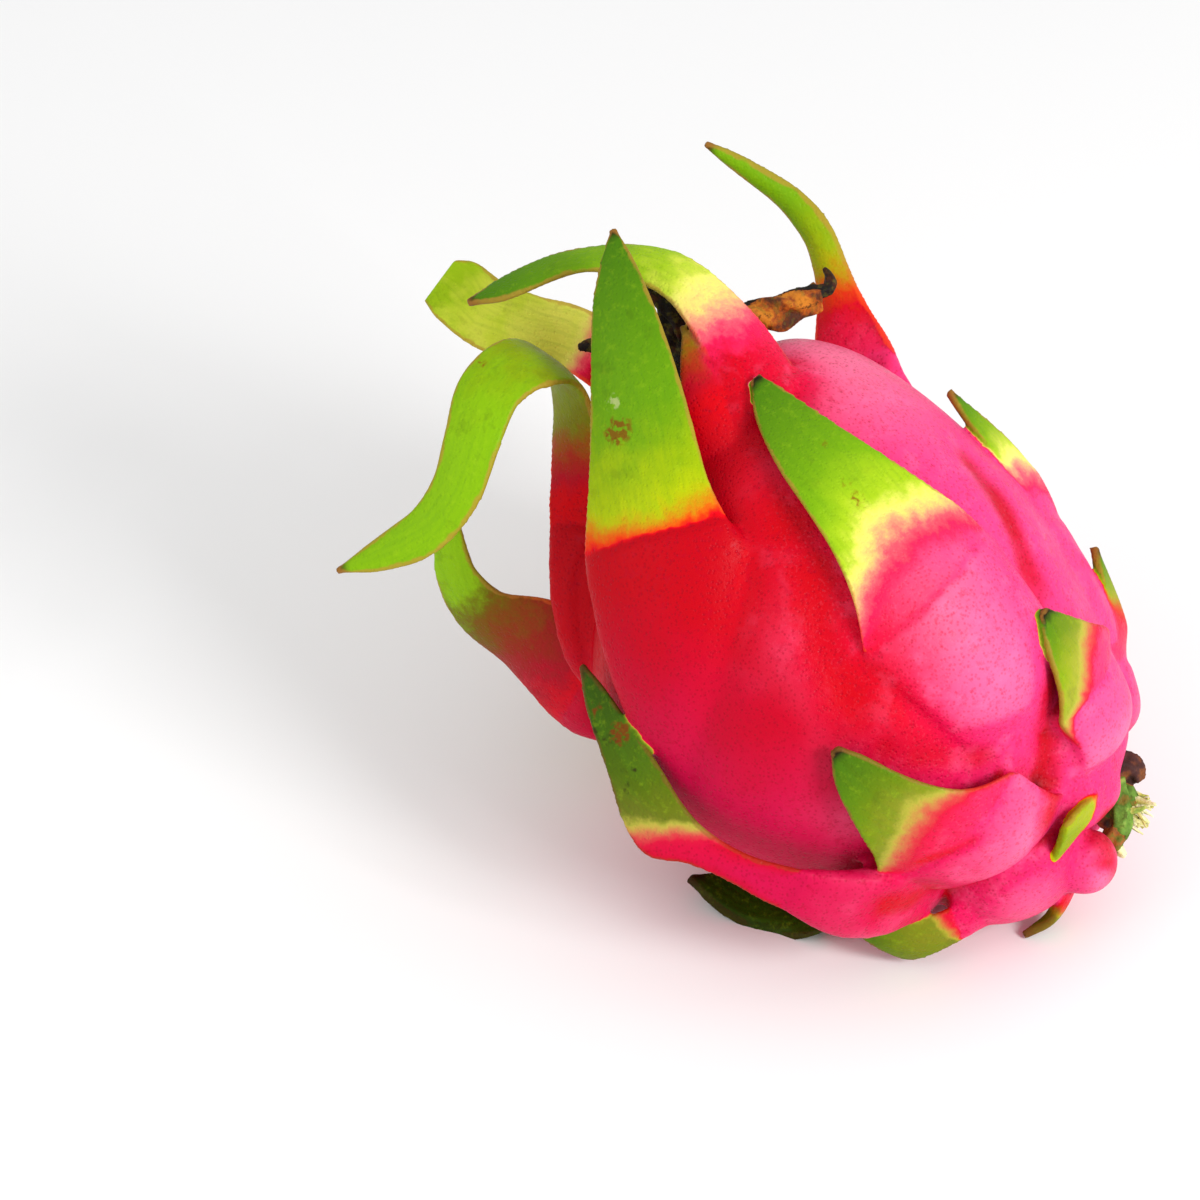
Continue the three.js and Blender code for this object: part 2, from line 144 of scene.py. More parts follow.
ROOT_SINK = 4
ROOT_THICKNESS = 9
FOOT_THICKNESS = 3.4
TIP_THICKNESS = 1.6
EDGE = 1.0
LEAST_HALF = 0.6
ACROSS = 24  # faces across a blade
BLADE_STEP = 0.9
SOFTENING = 9  # steps that a half width is evened out over
AGED_SHARE = 0.55  # the share of a blade, from its tip, that ages

# turn and foot (its height) place a blade's foot on the body, root is the length grown into the flesh,
# and swing how far its tip leans sideways. knee, mid and tip are how far it stands out at its foot,
# halfway and at its end. bow and cup are the radii it is bent across, at its foot and further up,
# narrow is how much it narrows into the flesh, and twist turns it about itself, from one share of its
# length to another. outline gives its half widths to the left and right at shares of its length;
# without one, neck and taper shape it.
# Its colours: green is how far past its foot the pink gives way, fade the length that takes, sag how
# much nearer the foot it happens at the margins, slant how much nearer at the right one, and haste how
# soon the green deepens. rust, old and spots are how rusty, aged and blotted it is; the pale mark makes
# it creamy, partly its own colour and partly painted light on brightly lit bracts, and the mark that
# darkens it is painted shade, for bracts in shadow. blunt is for an end without a dry point. A bract is
# as USUAL_BRACT says in all that its own entry leaves out.
USUAL_BRACT = dict(knee=4, cup=24, twist=(0, 1, 0), taper=1.4, narrow=0.35, slant=0, haste=1, old=1,
                   pale_and_lit=0, rust=0, painted_shade=0, spots=0, blunt=0)
BODY_BRACTS = {
    "breast": dict(
        turn=23.5, foot=-4, root=40, length=47.5, width=34, knee=4, mid=4, tip=5, swing=0.5, cup=45,
        outline=[(0, 18.5, 18.5), (0.08, 15.8, 17), (0.16, 13.3, 15.5), (0.25, 11.3, 13.4),
                 (0.35, 9.8, 11.4), (0.45, 9, 9.4), (0.55, 8.4, 7.7), (0.65, 7.8, 6.2),
                 (0.75, 6.7, 4.9), (0.85, 5.3, 3.6), (0.92, 4, 2.6), (1, 0.9, 0.7)],
        green=8, fade=9, sag=5.5, pale_and_lit=0.8),
    "left_flank": dict(
        turn=-52, foot=-20, root=30, length=48, width=42, knee=8, mid=7, tip=6, swing=-10.5, bow=60,
        cup=60, twist=(-0.3, 0.1, 30), narrow=0,
        outline=[(-1, 12, 9), (-0.3, 9, 6), (0, 5.4, 4), (0.16, 3.6, 2.6), (0.25, 3.4, 2.6),
                 (0.34, 4.4, 3), (0.43, 8, 4.2), (0.5, 7, 5.4), (0.57, 5.4, 6.2), (0.65, 3.4, 6.2),
                 (0.75, 2.4, 5.3), (0.85, 2.2, 3.9), (0.92, 1.8, 2.6), (1, 0.3, 0.4)],
        green=20, fade=5, sag=0, slant=6, pale_and_lit=0.55, rust=0.45, painted_shade=0.65, spots=1),
    "belly": dict(
        turn=-23, foot=-34, root=24, length=27, width=38, knee=5, mid=5, tip=4, swing=6, cup=40,
        outline=[(0, 17.2, 16.5), (0.08, 15.4, 15.5), (0.16, 12.9, 12.8), (0.25, 10.9, 9.9),
                 (0.35, 9.7, 8), (0.45, 8.6, 6.7), (0.55, 7.6, 5.7), (0.65, 6.5, 4.7), (0.75, 5.5, 3.8),
                 (0.85, 4.2, 3), (0.92, 3, 2), (1, 0.6, 0.4)],
        green=7, fade=6, sag=4.7, slant=-3.7, pale_and_lit=0.5, rust=0.5, painted_shade=0.4),
    "right_small": dict(
        turn=42, foot=-34, root=22, length=18.5, width=26, knee=3.2, mid=4.2, tip=4.6, swing=-3, cup=60,
        outline=[(0, 10.4, 15), (0.25, 8.9, 12.6), (0.35, 8.1, 10.4), (0.45, 7.4, 8.6), (0.55, 6.8, 7),
                 (0.65, 6, 5.6), (0.75, 5, 4.2), (0.85, 3.8, 3), (0.92, 2.6, 2), (1, 0.6, 0.6)],
        green=4.5, fade=4.4, sag=3, slant=-7, pale_and_lit=0.5, rust=0.45, painted_shade=0.15),
    "right_edge": dict(
        turn=80, foot=-12, root=40, length=29, width=22, knee=0.8, mid=2.4, tip=4, swing=2, cup=50,
        twist=(-0.3, 0.3, -30),
        outline=[(0, 6, 8), (0.2, 4.6, 6), (0.4, 3.4, 4.6), (0.6, 2.8, 3.6), (0.8, 1.8, 2.4),
                 (1, 0.4, 0.4)],
        green=8, fade=8, sag=4, pale_and_lit=1),
    "right_stem": dict(
        turn=92, foot=-37, root=22, length=21.5, width=20, neck=0.5, knee=2, mid=3.6, tip=5.6, swing=-2,
        cup=50, twist=(-0.3, 0.3, -25), green=9, fade=5, sag=3, rust=0.35),
    "underside_left": dict(
        turn=-101, foot=-30, root=24, length=22, width=40, knee=8.4, mid=9.6, tip=7, swing=0,
        twist=(0, 0.3, -40),
        outline=[(0, 20, 8), (0.25, 14, 4), (0.5, 12, 2.4), (0.8, 8, 1.6), (1, 0.4, 0.4)],
        green=-7, fade=5, sag=0, rust=0.6, painted_shade=0.95),
    "back_a": dict(
        turn=-136, foot=4, root=36, length=32, width=34, neck=0.5, knee=4, mid=4, tip=4, swing=0,
        green=3, fade=9, sag=6),
    "back_b": dict(
        turn=-166, foot=-12, root=34, length=34, width=36, neck=0.5, knee=6, mid=7, tip=7, swing=0,
        green=3, fade=9, sag=6, pale_and_lit=1),
    "back_c": dict(
        turn=-146, foot=-38, root=20, length=22, width=30, neck=0.5, knee=5, mid=5, tip=5, swing=0,
        green=2, fade=6, sag=5),
    "back_d": dict(
        turn=142, foot=2, root=40, length=38, width=34, neck=0.55, knee=4, mid=5, tip=6, swing=0,
        green=4, fade=10, sag=8, pale_and_lit=1),
    "back_e": dict(
        turn=160, foot=-32, root=24, length=26, width=32, neck=0.5, knee=4, mid=5, tip=6, swing=0,
        green=3, fade=7, sag=5),
}

# The long bracts, most of them round the crown, follow a spine of points in the growth frame. foot is
# the share of it where the blade comes free, and facing is where its outer face looks at first.
LONG_BRACTS = {
    "front_tall": dict(
        foot=0.45, width=40, cup=22, narrow=0, facing=(1, -0.4, 0),
        outline=[(-1, 15, 18), (-0.6, 17.5, 20), (-0.3, 17.6, 17), (0, 16.4, 12.4), (0.08, 14.9, 11),
                 (0.16, 13.1, 10.1), (0.25, 11.5, 9.7), (0.35, 10, 9.2), (0.45, 8.9, 8.5),
                 (0.55, 7.9, 7.6), (0.65, 7, 6.5), (0.75, 6, 5.2), (0.85, 4.3, 3.7), (0.92, 2.6, 2.4),
                 (1, 0.3, 0.3)],
        spine=[(30, -36, -4), (37, -29, 14), (38, -19, 32), (34, -7.6, 48.7), (28, 5.3, 65.7),
               (22, 15, 78)],
        green=-3, fade=7, sag=-3),
    "arching": dict(
        foot=0.34, width=28, cup=20, twist=(0.05, 0.4, -62), narrow=0, facing=(1, -0.7, 0),
        outline=[(0, 4.8, 6), (0.1, 5.4, 5), (0.2, 7.2, 5.4), (0.3, 7.4, 7), (0.4, 6.4, 7.4),
                 (0.5, 5.8, 6.4), (0.6, 5.2, 5.2), (0.72, 4.7, 4.7), (0.85, 4, 4), (0.93, 2.5, 2.5),
                 (1, 0.3, 0.3)],
        spine=[(2, -36, 8), (4, -40, 27), (6, -35.5, 36.4), (7, -29.7, 43), (7, -24.2, 48.3),
               (7, -16.7, 55.8), (8, -11.6, 62.2), (11, -9.8, 67.9), (16, -13, 72.4), (19, -19.4, 72.9),
               (21, -27.1, 69), (21, -35, 64.9), (19, -43.4, 63.8), (17, -51.5, 66.2),
               (15, -59.4, 69.8)],
        green=9, fade=9, sag=0, haste=0.6, rust=0.8, old=0.2),
    "low_left": dict(
        foot=0.33, width=30, cup=20, facing=(0.8, -1, 0),
        outline=[(0, 9, 17), (0.08, 7.6, 17), (0.16, 8.4, 16), (0.25, 10.6, 14), (0.35, 11.4, 10.6),
                 (0.45, 10, 7), (0.55, 8, 6.2), (0.65, 6, 5.4), (0.75, 4, 4.5), (0.85, 3.4, 3.7),
                 (1, 2, 2)],
        spine=[(-6, -36, 6), (-10, -47.4, 24.6), (-10, -46.3, 39.3), (-10, -47.8, 48.3),
               (-9, -46.7, 55.2), (-7, -43.7, 60.1), (-5, -38.6, 65.7)],
        green=7, fade=18, sag=0, rust=1, old=0),
    "over_crown": dict(
        foot=0.3, width=24, cup=16, narrow=0,
        outline=[(-1, 12, 9), (-0.4, 10, 10), (0, 7, 10.5), (0.16, 5.6, 8.6), (0.25, 4.9, 7.8),
                 (0.35, 4.2, 7), (0.45, 4.3, 6.7), (0.55, 3.7, 5.6), (0.65, 2.3, 4.2), (0.75, 3.4, 3.6),
                 (0.85, 3.8, 3.1), (0.92, 3.4, 2.3), (1, 0.3, 0.3)],
        spine=[(24, 12, 14), (28, 12.5, 36.5), (23, 16.6, 53.1), (17, 16.3, 67.6), (12, 6.6, 79.7),
               (10, -10.9, 87.6)],
        green=10, fade=12, sag=0, haste=0.6, pale_and_lit=1),
    "back_right": dict(
        foot=0.3, width=26, cup=26, facing=(-1, 0.4, 0),
        outline=[(0, 9, 9), (0.08, 7.6, 7.6), (0.16, 6, 6), (0.25, 4.4, 4.4), (0.35, 3.4, 3.4),
                 (0.45, 3.1, 3.1), (0.55, 3, 3), (0.65, 2.6, 2.6), (0.75, 2.2, 2.2), (0.85, 1.8, 1.8),
                 (0.92, 1.4, 1.4), (1, 0.4, 0.4)],
        spine=[(-8, 28, 10), (-12, 29.3, 26.7), (-13, 32.9, 35), (-14, 37.1, 42.2), (-14, 40.1, 47.5),
               (-14, 42.8, 53.6), (-14, 43.5, 61.4), (-13, 42, 69.6), (-12, 39.7, 79)],
        green=10, fade=10, sag=0, rust=0.3, old=0),
    "square_end": dict(
        foot=0.3, width=22, cup=30,
        outline=[(0, 8, 8), (0.25, 6.6, 6), (0.45, 5.7, 6), (0.7, 5.8, 7.4), (0.9, 6.2, 6.6),
                 (0.97, 6, 6.2), (1, 3, 5)],
        spine=[(-16, 2, 30), (-20, 2, 48), (-22, -0.9, 71.1), (-20, -5.2, 78.3), (-19, -8.7, 85.7),
               (-18, -10.3, 95.5)],
        green=16, fade=5, sag=0, haste=0.4, pale_and_lit=0.7, old=0.1, blunt=9),
    "short_middle": dict(
        foot=0.4, width=20, neck=0.55, taper=1.6, cup=12,
        spine=[(24, 1, 22), (30, 4, 38), (27, 8, 50), (21, 12, 58)],
        green=12, fade=10, sag=0, rust=0.7, painted_shade=0.3),
    "behind_left": dict(
        foot=0.3, width=28, neck=0.5, taper=2, cup=12,
        spine=[(-22, -16, 8), (-31, -17, 26), (-41, -20, 37), (-53, -22, 38), (-64, -22, 30)],
        green=12, fade=12, sag=4),
    "behind_right": dict(
        foot=0.3, width=28, neck=0.5, taper=2, cup=12,
        spine=[(-22, 10, 14), (-29, 12, 31), (-38, 14, 42), (-50, 16, 44), (-62, 18, 38)],
        green=12, fade=12, sag=4),
    "under_belly": dict(
        foot=0.45, width=24, cup=12, facing=(1, -0.5, -1),
        outline=[(-1, 2, 6), (0, 2, 6), (0.2, 3, 5.6), (0.42, 7.6, 5.2), (0.6, 4.4, 4.2),
                 (0.8, 1.8, 2.4), (1, 0.3, 0.3)],
        spine=[(5, -10, -52), (6.5, -21.5, -52), (8, -31, -48.8), (8, -37.2, -42), (8, -41.2, -34.4)],
        green=-1, fade=3, sag=0, slant=-3.4, pale_and_lit=0.3, rust=0.5, painted_shade=0.45),
    "stem_small": dict(
        foot=0.5, width=13, cup=40, facing=(1, 0, -0.3),
        outline=[(-1, 1, 4), (0, 3, 5), (0.4, 5, 4.2), (0.8, 7, 3), (1, 7.4, 2)],
        spine=[(7, 4.4, -53.4), (13.4, 3.4, -52), (18, 1, -50.6), (21.2, -3.2, -49.8)],
        green=-3, fade=2.4, sag=0, slant=-4, painted_shade=0.25, old=0, blunt=9),
    "stem_side": dict(
        foot=0.4, width=14, neck=0.6, taper=1.6, cup=12, facing=(0, -0.2, -1),
        spine=[(-1, 0, -55), (-2, -7, -60), (-3, -14, -62), (-4, -20, -60.5)],
        green=3, fade=3, sag=0, rust=0.4, painted_shade=0.5),
}

# What each point of the skin is marked with, for its finish: how ripe the blade's colour is, how far
# it is into the green, its distances from margin and tip, its place across and along the blade, a
# number that sets one bract off from the next, and the colours of its bract, painted light and painted
# shade among them.
MARKS = ["ripe", "leafy", "margin", "tip", "across", "along", "kin", "old",
         "pale_and_lit", "rust", "painted_shade", "spots"]


def smooth_line(points, step):
    """A smooth line through points, as places and directions a step apart."""
    p = np.array(points, float)
    p = np.vstack([2 * p[0] - p[1], p, 2 * p[-1] - p[-2]])
    spans = np.sqrt(np.linalg.norm(np.diff(p, axis=0), axis=1))
    t = np.linspace(0, 1, 101)[:, None]
    line = [p[1:2]]
    for i in range(1, len(p) - 2):
        before, span, after = spans[i - 1], spans[i], spans[i + 1]
        rise = (p[i + 1] - p[i]) / span
        leave = span * ((p[i] - p[i - 1]) / before - (p[i + 1] - p[i - 1]) / (before + span) + rise)
        enter = span * (rise - (p[i + 2] - p[i]) / (span + after) + (p[i + 2] - p[i + 1]) / after)
        gap = p[i + 1] - p[i]
        second, third = 3 * gap - 2 * leave - enter, leave + enter - 2 * gap
        curve = p[i] + leave * t + second * t**2 + third * t**3
        line.append(curve[1:])
    line = np.vstack(line)
    length = np.concatenate([[0], np.cumsum(np.linalg.norm(np.diff(line, axis=0), axis=1))])
    stops = np.linspace(0, length[-1], max(int(length[-1] / step), 2) + 1)
    place = np.stack([np.interp(stops, length, line[:, k]) for k in range(3)], axis=1)
    way = np.gradient(place, axis=0)
    return place, way / np.linalg.norm(way, axis=1)[:, None], stops


def carried(way, facing):
    """Normals carried along a line without turning about it."""
    normal = np.array(facing, float)
    normals = []
    for w in way:
        normal = normal - w * (normal @ w)
        normal /= np.linalg.norm(normal)
        normals.append(normal)
    return np.array(normals)


def bract_frames(bract):
    """Where a bract runs: places, ways and outward looks a step apart, and its half widths there."""
    foot, width, spine = bract["foot"], bract["width"], bract["spine"]
    place, way, stops = smooth_line(spine, BLADE_STEP)
    out = carried(way, bract.get("facing", (spine[1][0], spine[1][1], 0)))
    share = stops / stops[-1]
    past = np.clip((share - foot) / (1 - foot), 0, None)
    root = np.clip(1 - share / foot, 0, None)
    first, last, turn = bract["twist"]
    twist = np.radians(turn) * np.clip((past - first) / (last - first), 0, 1)
    out = out * np.cos(twist)[:, None] + np.cross(way, out) * np.sin(twist)[:, None]
    if "outline" in bract:
        outline = np.array(bract["outline"])
    else:
        along = np.linspace(0, 1, 12)
        flare = (1 - bract["neck"]) * (1 - along) ** 3
        half = width / 2 * (flare + bract["neck"] * (1 - along ** bract["taper"]))
        outline = np.stack([along, half, half], axis=1)
    narrowing = 1 - bract["narrow"] * root
    halves = [np.interp(past - root, outline[:, 0], outline[:, k]) * narrowing for k in (1, 2)]
    window = np.hanning(SOFTENING) / np.hanning(SOFTENING).sum()
    halves = [np.convolve(np.pad(h, SOFTENING // 2, "edge"), window, "valid") for h in halves]
    return place, way, out, stops, past, root, [np.maximum(h, LEAST_HALF) for h in halves]


def bract_solid(bract, root_only=False):
    """The closed solid of a bract in the growth frame, and the marks of its points."""
    place, way, out, stops, past, root, (left, right) = bract_frames(bract)
    foot, spine = bract["foot"], bract["spine"]
    side = np.cross(way, out)
    # The more a foot stands out from the body, the more tightly it is bent across.
    foot_radius = 1 / (1 / BODY_RADIUS + 1.5 * bract["knee"] / (bract["width"] / 2) ** 2)
    foot_radius = bract.get("bow", foot_radius)
    bend = np.minimum(past * 2, 1)
    radius = foot_radius + (bract["cup"] - foot_radius) * bend
    middle = FOOT_THICKNESS + (TIP_THICKNESS - FOOT_THICKNESS) * past

    x = np.linspace(-1, 1, ACROSS + 1)
    across = np.where(x < 0, x * left[:, None], x * right[:, None])
    blade = middle[:, None] + (EDGE - middle)[:, None] * x**2
    thickness = blade + (ROOT_THICKNESS - blade) * root[:, None]
    angle = across / radius[:, None]
    faces_of = []
    for depth in (np.zeros_like(thickness), thickness):
        reach = radius[:, None] - depth
        sideways = (reach * np.sin(angle))[..., None] * side[:, None]
        outwards = (reach * np.cos(angle) - radius[:, None])[..., None] * out[:, None]
        faces_of.append(place[:, None] + sideways + outwards)
    if root_only:
        kept = int(np.searchsorted(stops, foot * stops[-1])) + 1
        faces_of = [grid[:kept] for grid in faces_of]
    n, m = faces_of[0].shape[:2]
    points = np.vstack([grid.reshape(-1, 3) for grid in faces_of])
    index = np.arange(n * m).reshape(n, m)
    rim = np.concatenate([index[0], index[1:, -1], index[-1, -2::-1], index[-2:0:-1, 0]])
    after = np.roll(rim, -1)
    faces = np.vstack([
        quads(n, m)[:, ::-1],
        quads(n, m, n * m),
        np.stack([rim, after, after + n * m, rim + n * m], axis=1),
    ])

    past_foot = (stops - foot * stops[-1])[:n, None] + 0 * x
    to_tip = (stops[-1] - stops)[:n, None] + 0 * x + bract["blunt"]
    across = across[:n]
    to_margin = np.minimum(np.minimum(across + left[:n, None], right[:n, None] - across), to_tip)
    lower = bract["sag"] * x**2 + bract["slant"] * x
    leafy = past_foot - bract["green"] + lower
    old = np.clip(1 - to_tip / (AGED_SHARE * (1 - foot) * stops[-1]), 0, 1) * bract["old"]
    marks = [leafy / bract["fade"], leafy * bract["haste"], to_margin, to_tip, across,
             past_foot, sum(spine[1]) + 0 * x, old]
    marks += [bract[name] + 0 * x for name in ("pale_and_lit", "rust", "painted_shade", "spots")]
    marks = np.stack(np.broadcast_arrays(*marks), -1).reshape(-1, len(MARKS))
    return points, faces, np.vstack([marks, marks])


def along_at(height):
    """How far along its outline the body has a given height."""
    return np.interp(height, HEIGHT, ALONG)


bracts = []
for bract in BODY_BRACTS.values():
    start, length, root = along_at(bract["foot"]), bract["length"], bract["root"]
    stands = [(-root, -ROOT_SINK), (-root / 2, bract["knee"] * 0.8), (0, bract["knee"]),
              (length / 2, bract["mid"]), (length, bract["tip"])]
    spine = [over_body(start + a, out, bract["turn"] + bract["swing"] * max(a / length, 0))
             for a, out in stands]
    shaped = {**USUAL_BRACT, **bract, "spine": spine, "foot": root / (root + length)}
    bracts.append((shaped, bowed))
for bract in LONG_BRACTS.values():
    bracts.append(({**USUAL_BRACT, **bract}, lambda points: points))

# ---------------------------------------------------------------- grown together
# Body and bracts are one skin. The pads are melted into the body first, so that they swell out of
# it softly; then the blades are melted on, which keeps their margins sharp.

MELT_BODY = 0.0009
MELT_BLADES = 0.0004
MOST_FACES = 190000
EVENING = 0.6  # how far a point is drawn towards its neighbours in one round
PAD_ROUNDS, CREASE_ROUNDS, FOLD_ROUNDS, MARK_ROUNDS = 110, 40, 400, 3
SWELLING = 1.2  # how much of their hollowness the pads and folds gain
MOST_OUT, MOST_IN = -0.6, 2.2  # as far as they may swell or sink, in millimetres


def mesh_of(solids):
    """One mesh of several solids, laid down on the table."""
    first, all_points, all_faces = 0, [], []
    for points, faces in solids:
        all_points.append(laid_down(points))
        all_faces.append(faces + first)
        first += len(points)
    mesh = bpy.data.meshes.new("skin")
    mesh.from_pydata(np.vstack(all_points), [], np.vstack(all_faces).tolist())
    return mesh


def worked(mesh, *steps):
    """The mesh after a row of modifiers."""
    piece = bpy.data.objects.new("work", mesh)
    bpy.context.scene.collection.objects.link(piece)
    for kind, settings in steps:
        modifier = piece.modifiers.new(kind, kind)
        for name, value in settings.items():
            setattr(modifier, name, value)
    depsgraph = bpy.context.evaluated_depsgraph_get()
    result = bpy.data.meshes.new_from_object(piece.evaluated_get(depsgraph))
    bpy.data.objects.remove(piece)
    return result


def points_of(mesh, what="co"):
    """The vertices of a mesh, or with "normal" their normals, as an array."""
    values = np.empty(len(mesh.vertices) * 3)
    mesh.vertices.foreach_get(what, values)
    return values.reshape(-1, 3)


def write_mark(mesh, name, values):
    """Marks each point of a mesh with a value, for its finish to read."""
    mark = mesh.attributes.new(name, "FLOAT", "POINT")
    mark.data.foreach_set("value", values.astype(np.float32))


def evened(mesh, values, rounds):
    """Values of the vertices of a mesh, each drawn towards those of its neighbours."""
    ends = np.empty(len(mesh.edges) * 2, int)
    mesh.edges.foreach_get("vertices", ends)
    a, b = ends.reshape(-1, 2).T
    count = len(mesh.vertices)
    degree = np.bincount(a, minlength=count) + np.bincount(b, minlength=count)
    for _ in range(rounds):
        around = np.stack([np.bincount(a, column[b], count) + np.bincount(b, column[a], count)
                           for column in values.T], axis=1)
        values = values + EVENING * (around / degree[:, None] - values)
    return values


def hollowness(mesh, rounds):
    """How far each point lies in a hollow of its surroundings, in millimetres."""
    here = points_of(mesh)
    return ((evened(mesh, here, rounds) - here) * points_of(mesh, "normal")).sum(1) * 1000


pads = []
for bract, bend in bracts:
    points, faces, _ = bract_solid(bract, root_only=True)
    pads.append((bend(points), faces))
soft = worked(
    mesh_of(flesh + pads),
    ("REMESH", dict(mode="VOXEL", voxel_size=MELT_BODY)),
    ("SMOOTH", dict(factor=0.5, iterations=14)),
)

# Where pads press against each other the skin is drawn in along a seam, and painted a deeper red there
# as painted shade. Each has its places in the growth frame, and how wide and how deep it is in
# millimetres; the last is not drawn in, only painted.
SEAMS = [
    ([(30, 20, -18.5), (30, 14.9, -25.2), (29, 10, -31.5), (26.5, 2.6, -40), (25.5, -2.2, -44),
      (20, -7.5, -50)], 3.6, 2.2),
    ([(34.2, 2.3, 32.1), (39.5, -0.5, 19), (42, -5, 9), (43.3, -10.5, 2.4), (42.8, -13, -4),
      (39.8, -17.8, -13.3)], 5, 1.4),
    ([(39.8, -17.8, -13.3), (40, -13.5, -20), (36.5, -7, -27), (32, -1, -31.5)], 3, 1),
    ([(25.2, -36.4, -33.7), (20.5, -30.9, -38.9), (18, -25, -44), (16.1, -16.3, -47.8)], 3.4, 1.4),
    ([(28.3, -28.3, -31.9), (30, -22.5, -35), (31, -15, -37.5), (30, -6, -38)], 1.4, 0.7),
    ([(16, 31.3, 13), (20.6, 30.4, 3), (23.8, 27.6, -6.6), (26, 24, -15), (29, 19, -20)], 3.4, 1),
    ([(14, -5, -56), (10.5, -1.5, -58.8), (6, 1, -61)], 1.6, 1),
    ([(12, 6, -51), (8, 1, -57), (2, -3, -61)], 4.5, 0),
]


def seamed(mesh):
    """How far each point of a mesh is drawn in, in millimetres, and how near a seam it is. A seam
    fades over the last sixth at either end."""
    here = points_of(mesh) * 1000
    depth, near = np.zeros(len(here)), np.zeros(len(here))
    for line, width, sunk in SEAMS:
        places = laid_down(np.array(line, float)) * 1000
        away, along = np.full(len(here), 1e9), np.zeros(len(here))
        for k, (a, b) in enumerate(zip(places[:-1], places[1:])):
            share = np.clip((here - a) @ (b - a) / ((b - a) @ (b - a)), 0, 1)
            off = np.linalg.norm(here - a - share[:, None] * (b - a), axis=1)
            along = np.where(off < away, (k + share) / (len(places) - 1), along)
            away = np.minimum(away, off)
        pull = np.exp(-((away / width) ** 2)) * np.clip(3 - 6 * np.abs(along - 0.5), 0, 1)
        depth, near = depth + sunk * pull, np.maximum(near, pull)
    return depth, near


swollen = np.clip(SWELLING * hollowness(soft, PAD_ROUNDS), MOST_OUT, MOST_IN)
drawn_in = (swollen + seamed(soft)[0]) / 1000
soft_points = points_of(soft) - drawn_in[:, None] * points_of(soft, "normal")
soft.vertices.foreach_set("co", soft_points.ravel())

blades = []
for bract, bend in bracts:
    points, faces, marks = bract_solid(bract)
    blades.append((bend(points), faces, marks))
joined = mesh_of([(points, faces) for points, faces, _ in blades])
gather = bmesh.new()
gather.from_mesh(joined)
gather.from_mesh(soft)
gather.to_mesh(joined)
gather.free()
grown = worked(
    joined,
    ("REMESH", dict(mode="VOXEL", voxel_size=MELT_BLADES)),
    ("SMOOTH", dict(factor=0.5, iterations=4)),
)

# Where it lies on the table it is pressed flat.
cut = bmesh.new()
cut.from_mesh(grown)
bmesh.ops.bisect_plane(
    cut, geom=cut.verts[:] + cut.edges[:] + cut.faces[:], plane_co=(0, 0, 0), plane_no=(0, 0, -1),
    clear_outer=True,
)
rims = [edge for edge in cut.edges if edge.is_boundary]
bmesh.ops.triangle_fill(cut, use_beauty=True, edges=rims)
bmesh.ops.triangulate(cut, faces=cut.faces[:])
cut.to_mesh(grown)
share_kept = min(MOST_FACES / len(cut.faces), 1)
cut.free()
skin = worked(grown, ("DECIMATE", dict(ratio=share_kept)))
skin.name = "fruit_skin"

# The marks of the bracts are carried over from the nearest place of the blades and the body.
PLAIN_SKIN = dict(ripe=-2, leafy=-25, margin=9, tip=30, along=-40)
source_points = [laid_down(points) for points, _, _ in blades]
source_faces, first = [], 0
for points, faces, _ in blades:
    source_faces.append(faces + first)
    first += len(points)
body_points = points_of(soft)
body_faces = np.array([list(p.vertices) for p in soft.polygons if len(p.vertices) == 4])
source_faces.append(body_faces + first)
source_points = np.vstack(source_points + [body_points])
plain = np.tile([float(PLAIN_SKIN.get(name, 0)) for name in MARKS], (len(body_points), 1))
source_marks = np.vstack([marks for _, _, marks in blades] + [plain])
source_faces = np.vstack(source_faces)
source_faces = np.vstack([source_faces[:, [0, 1, 2]], source_faces[:, [0, 2, 3]]])
tree = BVHTree.FromPolygons(source_points.tolist(), source_faces.tolist())
found = [tree.find_nearest(point) for point in points_of(skin)]
hit = np.array([place for place, _, _, _ in found])
corner = source_faces[[face for _, _, face, _ in found]]
a, b, c = (source_points[corner[:, k]] for k in range(3))
whole = np.cross(b - a, c - a)
size = np.maximum((whole**2).sum(1), 1e-30)
share_b = (np.cross(hit - a, c - a) * whole).sum(1) / size
share_c = (np.cross(b - a, hit - a) * whole).sum(1) / size
shares = np.clip(np.stack([1 - share_b - share_c, share_b, share_c], axis=1), 0, 1)
marks = evened(skin, (source_marks[corner] * shares[..., None]).sum(1), MARK_ROUNDS)
for name, values in zip(MARKS, marks.T):
    write_mark(skin, name, values)

# Scabs and stings: place in the growth frame, size in millimetres and how dark.
SCABS = [((31.7, -8.9, 52.8), 2.8, 1), ((30.6, -6.4, 56.3), 1.6, -1), ((41.6, 10.9, 16.2), 1.6, 0.8),
         ((40.5, 11.6, 19.7), 1.2, 0.7), ((18.3, -16.5, 77.5), 0.9, 1), ((21.8, -44.3, 22.5), 1.4, 1),
         ((25, -44.6, 16.2), 2.2, 1), ((33.4, -6.6, 44), 1.0, 0.5), ((37.6, 14, 27), 1.4, 0.6)]
scab = np.zeros(len(marks), np.float32)
for centre, size, depth in SCABS:
    away = np.linalg.norm(points_of(skin) - laid_down(np.array([centre])), axis=1) * 1000
    scab += np.clip(1.5 - away / size, 0, 1) * depth
write_mark(skin, "scab", scab)
# Crease and fold let the finish paint shade in hollows and a highlight on swellings; seam lets it paint
# shade along the seams.
write_mark(skin, "crease", hollowness(skin, CREASE_ROUNDS))
write_mark(skin, "fold", hollowness(skin, FOLD_ROUNDS))
write_mark(skin, "seam_shade", seamed(skin)[1])

fruit = bpy.data.objects.new("fruit_skin", skin)
bpy.context.scene.collection.objects.link(fruit)
skin.shade_smooth()

